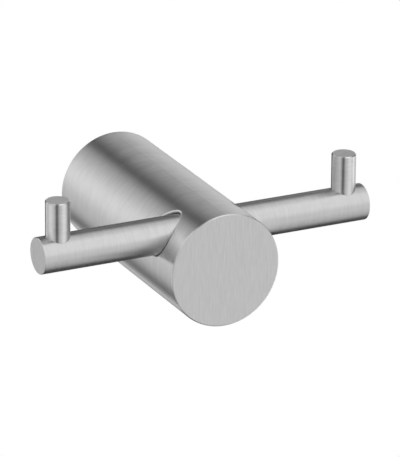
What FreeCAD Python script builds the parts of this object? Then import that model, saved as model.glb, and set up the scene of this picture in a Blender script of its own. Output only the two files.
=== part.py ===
"""Double robe hook in brushed stainless steel, for a bathroom wall.

A round barrel stands out from the wall. A round cross bar runs sideways through the barrel near its
front face, above the barrel's own axis and a little to the left of its middle. It carries one short
upright pin near each end, so that a robe's loop can't slide off. The barrel is bored out from the
back and slips over a turned wall bracket, where a cone-point set screw in its underside draws it
against the wall. A dog-point set screw, reached through the empty bore, locks the cross bar so that
its pins stay upright.

Frame, in millimetres: the origin is the centre of the back, on the wall. +Y points into the wall, so
the front face is at -Y. +X runs along the cross bar and +Z is up.
"""

import FreeCAD
import Part

import math
import os

# Barrel
barrel_diameter = 38.0
barrel_length = 84.5
barrel_wall = 3.0
front_rim_radius = 0.4
front_rim_steps = 3
back_rim_chamfer = 0.3
bore_mouth_chamfer = 0.6

# Cross bar, and the hole that it passes through
bar_diameter = 12.0
bar_length = 115.2
bar_behind_front = 14.6
bar_left_of_centre = 1.2
bar_end_chamfer = 0.15
bar_clearance = 0.2
metal_over_bar = 3.25
cross_hole_rim_radius = 0.55

# Upright pins, pressed into blind holes near the ends of the bar
pin_diameter = 8.0
pin_from_bar_end = 6.9
pin_rise = 11.7
pin_seat_depth = 8.0
pin_top_chamfer = 0.3
press_clearance = 0.01

# Wall bracket, a thick turned ring that is screwed flat on the wall
bracket_depth = 10.0
bracket_clearance = 0.25
bracket_rim_chamfer = 0.5
sight_hole_diameter = 11.5
groove_depth = 2.0
wall_screw_hole_diameter = 4.5
countersink_diameter = 8.5

# Set screw in the underside, whose cone point bears on the front flank of the bracket's groove
bracket_screw_thread = 4.0
bracket_screw_length = 4.0
bracket_screw_key = 2.0
cone_tip_radius = 0.4
cone_clearance = 0.05
draw_to_wall = 0.3
tapped_mouth_chamfer = 0.3

# Set screw behind the bar, whose dog point stands in a blind hole in the bar
bar_screw_thread = 6.0
bar_screw_length = 10.0
bar_screw_key = 3.0
bar_screw_recess = 1.0
dog_diameter = 4.0
dog_length = 3.0
dog_clearance = 0.05

# Both set screws
thread_clearance = 0.05
thread_end_chamfer = 0.5
key_depth_per_size = 0.8

# Sizes that follow from the ones above
barrel_radius = barrel_diameter / 2
bore_radius = barrel_radius - barrel_wall
bar_radius = bar_diameter / 2
cross_hole_radius = bar_radius + bar_clearance
bar_from_wall = barrel_length - bar_behind_front
bar_height = barrel_radius - metal_over_bar - cross_hole_radius
pin_radius = pin_diameter / 2
pin_offset = bar_length / 2 - pin_from_bar_end
bar_screw_shank = bar_screw_length - dog_length
bore_depth = bar_from_wall - cross_hole_radius - bar_screw_shank - bar_screw_recess
bracket_radius = bore_radius - bracket_clearance
sight_hole_radius = sight_hole_diameter / 2
groove_from_wall = bracket_depth / 2
groove_floor_radius = bracket_radius - groove_depth
wall_screw_offset = (bracket_radius - bracket_rim_chamfer + sight_hole_radius) / 2
bracket_screw_from_wall = groove_from_wall + draw_to_wall
cone_apex_radius = groove_floor_radius + draw_to_wall + math.sqrt(2) * cone_clearance
bracket_screw_foot_radius = cone_apex_radius + cone_tip_radius + bracket_screw_length

CENTRE = FreeCAD.Vector(0, 0, 0)
ALONG_BAR = FreeCAD.Vector(1, 0, 0)
FORWARD = FreeCAD.Vector(0, -1, 0)
UP = FreeCAD.Vector(0, 0, 1)
DOWN = FreeCAD.Vector(0, 0, -1)
FULL_TURN = 360


def turned(profile):
    """Solid turned about the barrel's axis from (radius, distance from the wall) corners.

    The profile is drawn straight above the axis, which keeps the seam clear of the cross hole.
    """
    corners = [FreeCAD.Vector(0, -distance, radius) for radius, distance in profile]
    outline = Part.makePolygon(corners + corners[:1])
    return Part.Face(outline).revolve(CENTRE, FORWARD, FULL_TURN)


def edges_where(solid, wanted):
    """Edges of which every sampled point passes the test."""
    samples = 9
    return [edge for edge in solid.Edges
            if all(wanted(point) for point in edge.discretize(Number=samples))]


def near(value, target):
    tolerance = 1e-4
    return abs(value - target) < tolerance


def from_barrel_axis(point):
    return math.hypot(point.x, point.z)


def from_bar_axis(point):
    return math.hypot(point.y + bar_from_wall, point.z - bar_height)


def barrel():
    """The post: a solid front block that holds the bar, and a bore that takes the wall bracket.

    Its front rim is rounded in short straight steps, so each one stays a plain cone.
    """
    back_rim = [
        (barrel_radius - back_rim_chamfer, 0),
        (barrel_radius, back_rim_chamfer),
    ]
    front_rim = []
    for step in range(front_rim_steps + 1):
        angle = math.pi / 2 * step / front_rim_steps
        front_rim.append((
            barrel_radius - front_rim_radius * (1 - math.cos(angle)),
            barrel_length - front_rim_radius * (1 - math.sin(angle)),
        ))
    post = turned([(0, 0)] + back_rim + front_rim + [(0, barrel_length)])
    hole_start = FreeCAD.Vector(-barrel_diameter, -bar_from_wall, bar_height)
    cross_hole = Part.makeCylinder(cross_hole_radius, 2 * barrel_diameter, hole_start, ALONG_BAR)
    post = post.cut(cross_hole)
    hole_rims = edges_where(
        post,
        lambda p: near(from_barrel_axis(p), barrel_radius) and near(from_bar_axis(p), cross_hole_radius),
    )
    post = post.makeFillet(cross_hole_rim_radius, hole_rims)
    bore = turned([
        (0, 0),
        (bore_radius + bore_mouth_chamfer, 0),
        (bore_radius, bore_mouth_chamfer),
        (bore_radius, bore_depth),
        (0, bore_depth),
    ])
    bar_screw_hole_radius = bar_screw_thread / 2 + thread_clearance
    bar_screw_hole = Part.makeCylinder(
        bar_screw_hole_radius,
        bar_from_wall - bore_depth,
        FreeCAD.Vector(0, -bore_depth, bar_height),
        FORWARD,
    )
    bracket_screw_hole_radius = bracket_screw_thread / 2 + thread_clearance
    bracket_screw_hole = Part.makeCylinder(
        bracket_screw_hole_radius,
        barrel_radius,
        FreeCAD.Vector(0, -bracket_screw_from_wall, 0),
        DOWN,
    )
    mouth_radius = bracket_screw_hole_radius + tapped_mouth_chamfer
    bracket_screw_mouth = Part.makeCone(
        0,
        mouth_radius,
        mouth_radius,
        FreeCAD.Vector(0, -bracket_screw_from_wall, mouth_radius - barrel_radius),
        DOWN,
    )
    return post.cut([bore, bar_screw_hole, bracket_screw_hole, bracket_screw_mouth])


def pin_foot(side):
    """Centre of the floor of a pin's hole; side is -1 for the left and 1 for the right."""
    return FreeCAD.Vector(
        side * pin_offset - bar_left_of_centre,
        -bar_from_wall,
        bar_height + bar_radius - pin_seat_depth,
    )


def cross_bar():
    """The bar, with a blind hole for each pin and one for the dog point of its set screw."""
    bar_start = FreeCAD.Vector(-bar_left_of_centre - bar_length / 2, -bar_from_wall, bar_height)
    bar = Part.makeCylinder(bar_radius, bar_length, bar_start, ALONG_BAR)
    ends = edges_where(bar, lambda p: near(abs(p.x + bar_left_of_centre), bar_length / 2))
    bar = bar.makeChamfer(bar_end_chamfer, ends)
    pin_holes = [
        Part.makeCylinder(pin_radius + press_clearance, bar_diameter, pin_foot(side), UP)
        for side in (-1, 1)
    ]
    dog_hole_floor = cross_hole_radius - dog_length
    dog_hole = Part.makeCylinder(
        dog_diameter / 2 + dog_clearance,
        bar_radius,
        FreeCAD.Vector(0, -bar_from_wall + dog_hole_floor, bar_height),
        -FORWARD,
    )
    return bar.cut(pin_holes + [dog_hole])


def upright_pin(side):
    """One pin, standing on the floor of its hole."""
    length = pin_seat_depth + pin_rise
    foot = pin_foot(side)
    pin = Part.makeCylinder(pin_radius, length, foot, UP)
    top = edges_where(pin, lambda p: near(p.z, foot.z + length))
    return pin.makeChamfer(pin_top_chamfer, top)


def wall_bracket():
    """A ring with a sight hole, a groove for its set screw and two countersunk screw holes."""
    ring = turned([
        (sight_hole_radius, 0),
        (bracket_radius, 0),
        (bracket_radius, groove_from_wall - groove_depth),
        (groove_floor_radius, groove_from_wall),
        (bracket_radius, groove_from_wall + groove_depth),
        (bracket_radius, bracket_depth - bracket_rim_chamfer),
        (bracket_radius - bracket_rim_chamfer, bracket_depth),
        (sight_hole_radius, bracket_depth),
    ])
    hole_radius = wall_screw_hole_diameter / 2
    countersink_radius = countersink_diameter / 2
    cuts = []
    for side in (-1, 1):
        foot = FreeCAD.Vector(side * wall_screw_offset, 0, 0)
        cuts.append(Part.makeCylinder(hole_radius, bracket_depth, foot, FORWARD))
        sink_start = foot + FORWARD * (bracket_depth - countersink_radius)
        cuts.append(Part.makeCone(0, countersink_radius, countersink_radius, sink_start, FORWARD))
    return ring.cut(cuts)


def set_screw(thread, key, point):
    """Headless screw with a hexagon socket, from its socket face at the origin up along +Z.

    The point is a list of (radius, height) corners that ends on the axis. The thread is left as a
    plain cylinder of its outer diameter.
    """
    radius = thread / 2
    profile = [(0, 0), (radius - thread_end_chamfer, 0), (radius, thread_end_chamfer)] + point
    corners = [FreeCAD.Vector(r, 0, height) for r, height in profile]
    body = Part.Face(Part.makePolygon(corners + corners[:1])).revolve(CENTRE, UP, FULL_TURN)
    sides = 6
    corner_radius = key / math.sqrt(3)
    hexagon = [
        FreeCAD.Vector(corner_radius * math.cos(i * math.tau / sides),
                       corner_radius * math.sin(i * math.tau / sides), 0)
        for i in range(sides + 1)
    ]
    socket = Part.Face(Part.makePolygon(hexagon)).extrude(UP * key * key_depth_per_size)
    return body.cut(socket)


def bracket_set_screw():
    """Cone-point screw that pushes up into the bracket's groove from the underside of the barrel."""
    radius = bracket_screw_thread / 2
    cone_height = radius - cone_tip_radius
    screw = set_screw(bracket_screw_thread, bracket_screw_key, [
        (radius, bracket_screw_length - cone_height),
        (cone_tip_radius, bracket_screw_length),
        (0, bracket_screw_length),
    ])
    screw.translate(FreeCAD.Vector(0, -bracket_screw_from_wall, -bracket_screw_foot_radius))
    return screw


def bar_set_screw():
    """Dog-point screw that reaches forward from the bore into the bar and rests on its hole's floor."""
    radius = bar_screw_thread / 2
    dog_radius = dog_diameter / 2
    screw = set_screw(bar_screw_thread, bar_screw_key, [
        (radius, bar_screw_shank - thread_end_chamfer),
        (radius - thread_end_chamfer, bar_screw_shank),
        (dog_radius, bar_screw_shank),
        (dog_radius, bar_screw_length),
        (0, bar_screw_length),
    ])
    quarter_turn = 90
    screw.rotate(CENTRE, ALONG_BAR, quarter_turn)
    screw.translate(FreeCAD.Vector(0, -bore_depth - bar_screw_recess, bar_height))
    return screw


def main():
    pieces = {
        "barrel": barrel(),
        "cross_bar": cross_bar(),
        "left_pin": upright_pin(-1),
        "right_pin": upright_pin(1),
        "wall_bracket": wall_bracket(),
        "bracket_set_screw": bracket_set_screw(),
        "bar_set_screw": bar_set_screw(),
    }
    os.makedirs("parts", exist_ok=True)
    for name, shape in pieces.items():
        shape.exportStep(os.path.join("parts", name + ".step"))
        print(name, "solids", len(shape.Solids), "valid", shape.isValid(), "volume", round(shape.Volume, 1))


main()
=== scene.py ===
"""Dresses a double robe hook in brushed stainless steel and lights it in a white tent."""

import math
from collections import namedtuple

import bmesh
import bpy
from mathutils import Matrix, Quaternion, Vector

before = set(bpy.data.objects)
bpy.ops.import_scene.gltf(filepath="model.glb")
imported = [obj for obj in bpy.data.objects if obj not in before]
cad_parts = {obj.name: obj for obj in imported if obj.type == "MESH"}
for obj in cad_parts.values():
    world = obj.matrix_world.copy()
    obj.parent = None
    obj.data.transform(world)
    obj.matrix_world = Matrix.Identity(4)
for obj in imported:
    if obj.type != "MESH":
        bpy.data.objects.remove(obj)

bl_info = {
    "name": "Robe Hook Finish",
    "version": (1, 0, 0),
    "blender": (4, 5, 0),
    "location": "View3D > Sidebar > Robe Hook",
    "description": "Brushed steel finishes and a white light tent for a double robe hook",
    "category": "Object",
}

X_AXIS = Vector((1.0, 0.0, 0.0))
Y_AXIS = Vector((0.0, 1.0, 0.0))
Z_AXIS = Vector((0.0, 0.0, 1.0))
WHITE = (1.0, 1.0, 1.0, 1.0)

# A face that is turned less than about 37 degrees from a piece's axis is a flat end.
FLAT_FACING = 0.8

# Brush lines are stretched noise, and both swing about the same middle. The spread is how far
# from it the noise gives a fully dark or fully light line.
MIDDLE = 0.5
NOISE_DETAIL = 2.0
NOISE_ROUGHNESS = 0.6
FINE_SPREAD = 0.22
BROAD_SPREAD = 0.25

# Broad lines among the fine ones: how much wider and longer, and their share of the brushing.
BroadLines = namedtuple("BroadLines", "times_width times_length share")
BROAD_AROUND = BroadLines(4.0, 3.0, 0.4)
BROAD_STRAIGHT = BroadLines(3.0, 3.0, 0.15)

# How much rougher the lightest brush lines are than the darkest.
LINE_ROUGHNESS = 0.03

# Tool marks on the machined parts, in metres, and how far they darken and roughen the steel.
MARK_WIDTH = 0.0003
MARK_LENGTH = 0.008
MARK_SPREAD = 0.3
MARK_SHADE = 0.85
MARK_ROUGHNESS = 0.08

# A mix node keeps the sockets of each kind of value in places of their own.
MixSockets = namedtuple("MixSockets", "first second result")
MIX_SOCKETS = {
    "FLOAT": MixSockets(2, 3, 0),
    "VECTOR": MixSockets(4, 5, 1),
    "RGBA": MixSockets(6, 7, 2),
}

# The sensor in millimetres, and the camera's range in metres.
SENSOR_WIDTH = 36.0
NEAREST_SEEN = 0.05
FURTHEST_SEEN = 50.0

# The tent is made of soft patches round the hook. Azimuth and elevation are in degrees, with
# azimuth 0 in front, 90 on the right and 180 behind. A half width or half height of 1 is 45
# degrees, where the patch has faded to about a third. A panel adds its level, and a gap takes
# that share of the light away.
TentPatch = namedtuple("TentPatch", "name azimuth elevation half_width half_height level")

TENT_PANELS = (
    TentPatch("overhead in front", 19, 56, 2.10, 1.00, 1.75),
    TentPatch("low in front", 29, -23, 1.00, 0.95, 1.25),
    TentPatch("low on the right", 87, -30, 0.25, 0.40, 2.70),
    TentPatch("low right side", 116, -15, 0.30, 0.45, 1.10),
    TentPatch("left side", -85, 29, 1.70, 1.35, 1.00),
    TentPatch("low on the left", -96, -31, 0.60, 0.35, 1.35),
    TentPatch("back left lamp", -144, 3, 0.25, 0.40, 1.95),
    TentPatch("back right lamp", 143, 2, 0.20, 0.25, 2.05),
    TentPatch("high back right lamp", 127, 41, 0.20, 0.40, 0.80),
    TentPatch("low back lamp", -179, -32, 0.20, 0.20, 1.20),
    TentPatch("floor lamp on the left", -114, -63, 0.65, 0.20, 2.95),
)
TENT_GAPS = (
    TentPatch("over the lens", -30, 34, 0.25, 1.50, 1.00),
    TentPatch("under the lens", 9, -58, 0.40, 0.95, 0.70),
    TentPatch("top seam on the left", -94, 77, 1.30, 0.20, 1.00),
    TentPatch("right side", 83, 22, 0.60, 0.55, 1.00),
    TentPatch("bottom seam on the left", -108, -50, 1.20, 0.20, 1.00),
    TentPatch("under the hook", -118, -83, 1.75, 0.35, 0.95),
    TentPatch("straight behind", -177, -2, 0.40, 0.45, 0.90),
    TentPatch("behind on the right", 161, 0, 0.20, 0.40, 0.90),
    TentPatch("low behind on the right", 153, -49, 0.30, 0.70, 0.90),
)

# A patch gives nothing to directions that lie less than this far ahead of it.
LEAST_AHEAD = 0.001


class TurnedFinish(bpy.types.PropertyGroup):
    """Brush lines that run round a piece, and how both finishes blur reflections."""

    colour: bpy.props.FloatVectorProperty(
        name="Colour", description="What the steel reflects", subtype="COLOR", size=4,
        min=0.0, max=1.0, default=(0.62, 0.62, 0.62, 1.0))
    roughness: bpy.props.FloatProperty(
        name="Roughness", description="How far brushing blurs reflections, on sides and flats",
        subtype="FACTOR", min=0.0, max=1.0, default=0.364)
    anisotropy: bpy.props.FloatProperty(
        name="Anisotropy", description="How much further it blurs them across the lines",
        subtype="FACTOR", min=0.0, max=1.0, default=0.952)
    line_width: bpy.props.FloatProperty(
        name="Line width", description="Width of one brush line", unit="LENGTH",
        min=0.0, default=0.00065)
    line_length: bpy.props.FloatProperty(
        name="Line length", description="Length of one brush line", unit="LENGTH",
        min=0.0, default=0.005)
    line_contrast: bpy.props.FloatProperty(
        name="Line contrast", description="How much darker the dark lines are", subtype="FACTOR",
        min=0.0, max=1.0, default=0.19)
    line_depth: bpy.props.FloatProperty(
        name="Line depth", description="Height of the lines in the bump, on sides and flats",
        unit="LENGTH", min=0.0, default=0.000001)


class LinedFinish(bpy.types.PropertyGroup):
    """Straight brush lines on a flat face."""

    colour: bpy.props.FloatVectorProperty(
        name="Colour", description="What the steel reflects", subtype="COLOR", size=4,
        min=0.0, max=1.0, default=(0.62, 0.62, 0.62, 1.0))
    line_width: bpy.props.FloatProperty(
        name="Line width", description="Width of one brush line", unit="LENGTH",
        min=0.0, default=0.0006)
    line_length: bpy.props.FloatProperty(
        name="Line length", description="Length of one brush line", unit="LENGTH",
        min=0.0, default=0.006)
    line_contrast: bpy.props.FloatProperty(
        name="Line contrast", description="How much darker the dark lines are", subtype="FACTOR",
        min=0.0, max=1.0, default=0.16)
    right_top_turn: bpy.props.FloatProperty(
        name="Right top turn", description="Turn of the lines on the right pin's top",
        subtype="ANGLE", default=math.radians(8.0))


class HardwareFinish(bpy.types.PropertyGroup):
    """Plain machined steel of the parts inside the barrel."""

    colour: bpy.props.FloatVectorProperty(
        name="Colour", description="What the steel reflects", subtype="COLOR", size=4,
        min=0.0, max=1.0, default=(0.50, 0.50, 0.49, 1.0))
    roughness: bpy.props.FloatProperty(
        name="Roughness", description="How far the machining blurs reflections", subtype="FACTOR",
        min=0.0, max=1.0, default=0.34)


class StudioSettings(bpy.types.PropertyGroup):
    """The white tent, its floor and the camera."""

    tent_level: bpy.props.FloatProperty(
        name="Tent level", description="Brightness of the tent's bare cloth", subtype="FACTOR",
        min=0.0, max=2.0, default=0.05)
    floor_drop: bpy.props.FloatProperty(
        name="Floor drop", description="How far the floor lies below the wall plate's centre",
        unit="LENGTH", min=0.05, default=0.6)
    floor_side: bpy.props.FloatProperty(
        name="Floor side", description="Side of the square floor", unit="LENGTH",
        min=0.5, default=8.0)
    camera_target: bpy.props.FloatVectorProperty(
        name="Camera target", description="Point that the camera looks at",
        subtype="TRANSLATION", size=3, default=(0.00775, -0.05, 0.00096))
    camera_distance: bpy.props.FloatProperty(
        name="Camera distance", description="From the target to the camera", unit="LENGTH",
        min=0.1, default=1.5023)
    camera_azimuth: bpy.props.FloatProperty(
        name="Camera azimuth", description="Turn from straight in front, to the right",
        subtype="ANGLE", default=math.radians(-26.16))
    camera_elevation: bpy.props.FloatProperty(
        name="Camera elevation", description="Angle above the horizon",
        subtype="ANGLE", default=math.radians(21.24))
    camera_roll: bpy.props.FloatProperty(
        name="Camera roll", description="Tilt of the camera about its line of sight",
        subtype="ANGLE", default=math.radians(0.48))
    camera_lens: bpy.props.FloatProperty(
        name="Camera lens", description="Focal length on a 36 mm sensor", unit="CAMERA",
        min=10.0, default=364.24)


class RobeHookSettings(bpy.types.PropertyGroup):
    """Everything that a user may change."""

    turned: bpy.props.PointerProperty(type=TurnedFinish, name="Turned finish")
    lined: bpy.props.PointerProperty(type=LinedFinish, name="Lined finish")
    hardware: bpy.props.PointerProperty(type=HardwareFinish, name="Hardware finish")
    studio: bpy.props.PointerProperty(type=StudioSettings, name="Studio")


class NodeBench:
    """Adds nodes to one tree, and links a value or a socket to each input."""

    def __init__(self, tree):
        self.tree = tree

    def add(self, kind, **settings):
        node = self.tree.nodes.new(kind)
        for key, value in settings.items():
            setattr(node, key, value)
        return node

    def feed(self, socket, value):
        if isinstance(value, bpy.types.NodeSocket):
            self.tree.links.new(value, socket)
        else:
            socket.default_value = value

    def math(self, operation, *values):
        node = self.add("ShaderNodeMath", operation=operation)
        for socket, value in zip(node.inputs, values):
            self.feed(socket, value)
        return node.outputs["Value"]

    def dot(self, first, second):
        node = self.add("ShaderNodeVectorMath", operation="DOT_PRODUCT")
        self.feed(node.inputs[0], first)
        self.feed(node.inputs[1], second)
        return node.outputs["Value"]

    def mix(self, kind, share, first, second):
        """Mixes two values of one kind: FLOAT, VECTOR or RGBA."""
        node = self.add("ShaderNodeMix", data_type=kind)
        sockets = MIX_SOCKETS[kind]
        self.feed(node.inputs["Factor"], share)
        self.feed(node.inputs[sockets.first], first)
        self.feed(node.inputs[sockets.second], second)
        return node.outputs[sockets.result]


def new_material(name):
    """An empty node material, and the bench that its nodes are added on."""
    material = bpy.data.materials.new(name)
    material.use_nodes = True
    material.node_tree.nodes.clear()
    return material, NodeBench(material.node_tree)


def brush_lines(bench, place, across, line_width, line_length, spread):
    """Streaks from 0 to 1, narrow along the axis that they lie across and long along the others."""
    long_scale = 1.0 / line_length
    cross_scale = 1.0 / line_width
    stretch = bench.add("ShaderNodeVectorMath", operation="MULTIPLY")
    bench.feed(stretch.inputs[0], place)
    bench.feed(stretch.inputs[1], Vector((long_scale,) * 3) + across * (cross_scale - long_scale))
    noise = bench.add("ShaderNodeTexNoise", noise_dimensions="3D")
    bench.feed(noise.inputs["Vector"], stretch.outputs["Vector"])
    noise.inputs["Scale"].default_value = 1.0
    noise.inputs["Detail"].default_value = NOISE_DETAIL
    noise.inputs["Roughness"].default_value = NOISE_ROUGHNESS
    level = bench.add("ShaderNodeMapRange")
    bench.feed(level.inputs["Value"], noise.outputs["Fac"])
    level.inputs["From Min"].default_value = MIDDLE - spread
    level.inputs["From Max"].default_value = MIDDLE + spread
    return level.outputs["Result"]


def brushing(bench, place, across, finish, broad):
    """The fine lines of a finish, with a share of broad ones among them."""
    fine = brush_lines(bench, place, across, finish.line_width, finish.line_length, FINE_SPREAD)
    wide = brush_lines(bench, place, across, finish.line_width * broad.times_width,
                       finish.line_length * broad.times_length, BROAD_SPREAD)
    return bench.mix("FLOAT", broad.share, fine, wide)


def turned_about(bench, place, axis, angle):
    """A place turned about an axis through the origin."""
    turn = bench.add("ShaderNodeVectorRotate", rotation_type="AXIS_ANGLE")
    bench.feed(turn.inputs["Vector"], place)
    turn.inputs["Axis"].default_value = axis
    turn.inputs["Angle"].default_value = angle
    return turn.outputs["Vector"]


def metal_shader(bench, colour, roughness):
    """A metal's shader, linked to the material's output."""
    metal = bench.add("ShaderNodeBsdfPrincipled")
    metal.inputs["Metallic"].default_value = 1.0
    bench.feed(metal.inputs["Base Color"], colour)
    bench.feed(metal.inputs["Roughness"], roughness)
    output = bench.add("ShaderNodeOutputMaterial")
    bench.feed(output.inputs["Surface"], metal.outputs["BSDF"])
    return metal


def brushed_steel(name, axis, flat_across, settings, flat_turn=0.0):
    """Steel brushed round an axis on its sides, and in straight lines on its flat ends.

    The straight lines lie across flat_across, turned about the axis by flat_turn.
    """
    turned = settings.turned
    lined = settings.lined
    material, bench = new_material(name)
    place = bench.add("ShaderNodeTexCoord").outputs["Object"]
    normal = bench.add("ShaderNodeNewGeometry").outputs["Normal"]
    facing = bench.math("ABSOLUTE", bench.dot(normal, axis))
    on_flat = bench.math("GREATER_THAN", facing, FLAT_FACING)

    around = brushing(bench, place, axis, turned, BROAD_AROUND)
    flat_place = turned_about(bench, place, axis, -flat_turn)
    straight = brushing(bench, flat_place, flat_across, lined, BROAD_STRAIGHT)
    lines = bench.mix("FLOAT", on_flat, around, straight)
    swing = bench.math("SUBTRACT", lines, MIDDLE)

    contrast = bench.mix("FLOAT", on_flat, turned.line_contrast, lined.line_contrast)
    shade = bench.math("ADD", bench.math("MULTIPLY", swing, contrast), 1.0)
    colour = bench.mix("RGBA", on_flat, tuple(turned.colour), tuple(lined.colour))
    tone = bench.add("ShaderNodeVectorMath", operation="SCALE")
    bench.feed(tone.inputs[0], colour)
    bench.feed(tone.inputs["Scale"], shade)
    roughness = bench.math("ADD", bench.math("MULTIPLY", swing, LINE_ROUGHNESS), turned.roughness)
    steel = metal_shader(bench, tone.outputs["Vector"], roughness)

    steel.inputs["Anisotropic"].default_value = turned.anisotropy
    across_lines = Quaternion(axis, flat_turn) @ flat_across
    bench.feed(steel.inputs["Tangent"], bench.mix("VECTOR", on_flat, axis, across_lines))
    bump = bench.add("ShaderNodeBump")
    bump.inputs["Strength"].default_value = 1.0
    bump.inputs["Distance"].default_value = turned.line_depth
    bench.feed(bump.inputs["Height"], lines)
    bench.feed(steel.inputs["Normal"], bump.outputs["Normal"])
    return material


def machined_steel(name, axis, settings):
    """Plain steel with faint tool marks, for the bracket and the screws."""
    hardware = settings.hardware
    material, bench = new_material(name)
    place = bench.add("ShaderNodeTexCoord").outputs["Object"]
    marks = brush_lines(bench, place, axis, MARK_WIDTH, MARK_LENGTH, MARK_SPREAD)
    dark = tuple(MARK_SHADE * channel for channel in hardware.colour[:3]) + (1.0,)
    colour = bench.mix("RGBA", marks, dark, tuple(hardware.colour))
    roughening = bench.math("MULTIPLY", marks, MARK_ROUGHNESS)
    metal_shader(bench, colour, bench.math("ADD", roughening, hardware.roughness))
    return material


def dress(node_name, material):
    """Puts one material in every slot of a node."""
    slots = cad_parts[node_name].material_slots
    if not slots:
        raise RuntimeError("%s has no material slot" % node_name)
    for slot in slots:
        slot.material = material


def outward(azimuth, elevation):
    """Direction from the hook, with both angles in radians."""
    return Vector((
        math.sin(azimuth) * math.cos(elevation),
        -math.cos(azimuth) * math.cos(elevation),
        math.sin(elevation)))


def patch_shape(bench, direction, patch):
    """How far a direction lies inside one soft-edged patch of the tent: 1 at its centre."""
    azimuth = math.radians(patch.azimuth)
    centre = outward(azimuth, math.radians(patch.elevation))
    right = Vector((math.cos(azimuth), math.sin(azimuth), 0.0))
    top = right.cross(centre)
    ahead = bench.dot(direction, centre)
    depth = bench.math("MAXIMUM", ahead, LEAST_AHEAD)
    across = bench.math("DIVIDE", bench.dot(direction, right / patch.half_width), depth)
    along = bench.math("DIVIDE", bench.dot(direction, top / patch.half_height), depth)
    spread = bench.math("ADD", bench.math("MULTIPLY", across, across),
                        bench.math("MULTIPLY", along, along))
    shape = bench.math("EXPONENT", bench.math("MULTIPLY", spread, -1.0))
    in_front = bench.math("GREATER_THAN", ahead, LEAST_AHEAD)
    return bench.math("MULTIPLY", shape, in_front)


def light_tent(settings):
    """A world that lights the hook like a white tent, and looks plain white to the camera."""
    world = bpy.data.worlds.new("white_tent")
    world.use_nodes = True
    world.node_tree.nodes.clear()
    bench = NodeBench(world.node_tree)
    place = bench.add("ShaderNodeTexCoord").outputs["Generated"]
    unit = bench.add("ShaderNodeVectorMath", operation="NORMALIZE")
    bench.feed(unit.inputs[0], place)
    direction = unit.outputs["Vector"]
    level = settings.studio.tent_level
    for panel in TENT_PANELS:
        glow = bench.math("MULTIPLY", patch_shape(bench, direction, panel), panel.level)
        level = bench.math("ADD", glow, level)
    for gap in TENT_GAPS:
        taken = bench.math("MULTIPLY", patch_shape(bench, direction, gap), gap.level)
        level = bench.math("MULTIPLY", level, bench.math("SUBTRACT", 1.0, taken))
    seen = bench.add("ShaderNodeLightPath").outputs["Is Camera Ray"]
    tent = bench.add("ShaderNodeBackground")
    tent.inputs["Color"].default_value = WHITE
    bench.feed(tent.inputs["Strength"], bench.mix("FLOAT", seen, level, 1.0))
    output = bench.add("ShaderNodeOutputWorld")
    bench.feed(output.inputs["Surface"], tent.outputs["Background"])
    bpy.context.scene.world = world


def lay_floor(settings):
    """A plain white floor, one-sided, so that a view from below isn't blocked."""
    studio = settings.studio
    mesh = bpy.data.meshes.new("studio_floor")
    shape = bmesh.new()
    bmesh.ops.create_grid(shape, x_segments=1, y_segments=1, size=studio.floor_side / 2.0)
    for vertex in shape.verts:
        vertex.co.z = -studio.floor_drop
    shape.to_mesh(mesh)
    shape.free()
    floor = bpy.data.objects.new("studio_floor", mesh)
    bpy.context.scene.collection.objects.link(floor)
    material, bench = new_material("white_floor")
    white = bench.add("ShaderNodeEmission")
    clear = bench.add("ShaderNodeBsdfTransparent")
    backfacing = bench.add("ShaderNodeNewGeometry").outputs["Backfacing"]
    surface = bench.add("ShaderNodeMixShader")
    bench.feed(surface.inputs[0], backfacing)
    bench.feed(surface.inputs[1], white.outputs["Emission"])
    bench.feed(surface.inputs[2], clear.outputs["BSDF"])
    output = bench.add("ShaderNodeOutputMaterial")
    bench.feed(output.inputs["Surface"], surface.outputs["Shader"])
    mesh.materials.append(material)
    floor.visible_diffuse = False
    floor.visible_glossy = False
    floor.visible_shadow = False


def place_camera(settings):
    """Stands the camera at the photograph's viewing angle."""
    studio = settings.studio
    data = bpy.data.cameras.new("camera")
    data.sensor_width = SENSOR_WIDTH
    data.lens = studio.camera_lens
    data.clip_start = NEAREST_SEEN
    data.clip_end = FURTHEST_SEEN
    camera = bpy.data.objects.new("camera", data)
    bpy.context.scene.collection.objects.link(camera)
    back = outward(studio.camera_azimuth, studio.camera_elevation)
    camera.location = Vector(studio.camera_target) + back * studio.camera_distance
    aim = (-back).to_track_quat("-Z", "Y")
    camera.rotation_mode = "QUATERNION"
    camera.rotation_quaternion = aim @ Quaternion(Z_AXIS, studio.camera_roll)
    bpy.context.scene.camera = camera


class ROBEHOOK_OT_dress_barrel(bpy.types.Operator):
    """Gives the barrel its brushed side and its lined front face"""

    bl_idname = "robehook.dress_barrel"
    bl_label = "Dress Barrel"

    def execute(self, context):
        settings = context.scene.robe_hook
        dress("barrel", brushed_steel("brushed_barrel", Y_AXIS, X_AXIS, settings))
        return {"FINISHED"}


class ROBEHOOK_OT_dress_bar(bpy.types.Operator):
    """Gives the cross bar its brushed side and ends"""

    bl_idname = "robehook.dress_bar"
    bl_label = "Dress Cross Bar"

    def execute(self, context):
        settings = context.scene.robe_hook
        dress("cross_bar", brushed_steel("brushed_bar", X_AXIS, Y_AXIS, settings))
        return {"FINISHED"}


class ROBEHOOK_OT_dress_pins(bpy.types.Operator):
    """Gives both upright pins their brushed sides and tops"""

    bl_idname = "robehook.dress_pins"
    bl_label = "Dress Pins"

    def execute(self, context):
        settings = context.scene.robe_hook
        dress("left_pin", brushed_steel("brushed_left_pin", Z_AXIS, Y_AXIS, settings))
        dress("right_pin", brushed_steel("brushed_right_pin", Z_AXIS, Y_AXIS, settings,
                                         settings.lined.right_top_turn))
        return {"FINISHED"}


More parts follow.
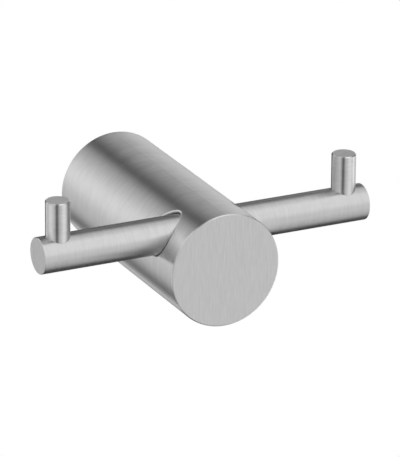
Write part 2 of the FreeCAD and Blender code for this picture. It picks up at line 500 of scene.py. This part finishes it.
class ROBEHOOK_OT_dress_hardware(bpy.types.Operator):
    """Gives the wall bracket and the set screws their machined steel"""

    bl_idname = "robehook.dress_hardware"
    bl_label = "Dress Hardware"

    def execute(self, context):
        settings = context.scene.robe_hook
        dress("wall_bracket", machined_steel("machined_bracket", Y_AXIS, settings))
        screw = machined_steel("machined_screws", Z_AXIS, settings)
        dress("bracket_set_screw", screw)
        dress("bar_set_screw", screw)
        return {"FINISHED"}


class ROBEHOOK_OT_set_stage(bpy.types.Operator):
    """Puts up the white tent, the floor and the camera"""

    bl_idname = "robehook.set_stage"
    bl_label = "Set Stage"

    def execute(self, context):
        settings = context.scene.robe_hook
        light_tent(settings)
        lay_floor(settings)
        place_camera(settings)
        context.scene.view_settings.view_transform = "Standard"
        return {"FINISHED"}


class ROBEHOOK_PT_sidebar(bpy.types.Panel):
    """Lists the hook's settings and its steps"""

    bl_idname = "ROBEHOOK_PT_sidebar"
    bl_label = "Robe Hook"
    bl_space_type = "VIEW_3D"
    bl_region_type = "UI"
    bl_category = "Robe Hook"

    def draw(self, context):
        settings = context.scene.robe_hook
        for group in (settings.turned, settings.lined, settings.hardware, settings.studio):
            box = self.layout.box()
            for key in group.bl_rna.properties.keys():
                if key not in {"rna_type", "name"}:
                    box.prop(group, key)
        for step in STEPS:
            self.layout.operator(step.bl_idname)


STEPS = (
    ROBEHOOK_OT_dress_barrel,
    ROBEHOOK_OT_dress_bar,
    ROBEHOOK_OT_dress_pins,
    ROBEHOOK_OT_dress_hardware,
    ROBEHOOK_OT_set_stage,
)
GROUPS = (TurnedFinish, LinedFinish, HardwareFinish, StudioSettings, RobeHookSettings)
CLASSES = GROUPS + STEPS + (ROBEHOOK_PT_sidebar,)


def register():
    """Registers the settings, the steps and the panel."""
    for cls in CLASSES:
        bpy.utils.register_class(cls)
    bpy.types.Scene.robe_hook = bpy.props.PointerProperty(type=RobeHookSettings)


def unregister():
    """Takes them out again."""
    del bpy.types.Scene.robe_hook
    for cls in reversed(CLASSES):
        bpy.utils.unregister_class(cls)


def main():
    """Runs every step in order."""
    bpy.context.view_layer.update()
    register()
    bpy.ops.robehook.dress_barrel()
    bpy.ops.robehook.dress_bar()
    bpy.ops.robehook.dress_pins()
    bpy.ops.robehook.dress_hardware()
    bpy.ops.robehook.set_stage()


if __name__ == "__main__":
    main()
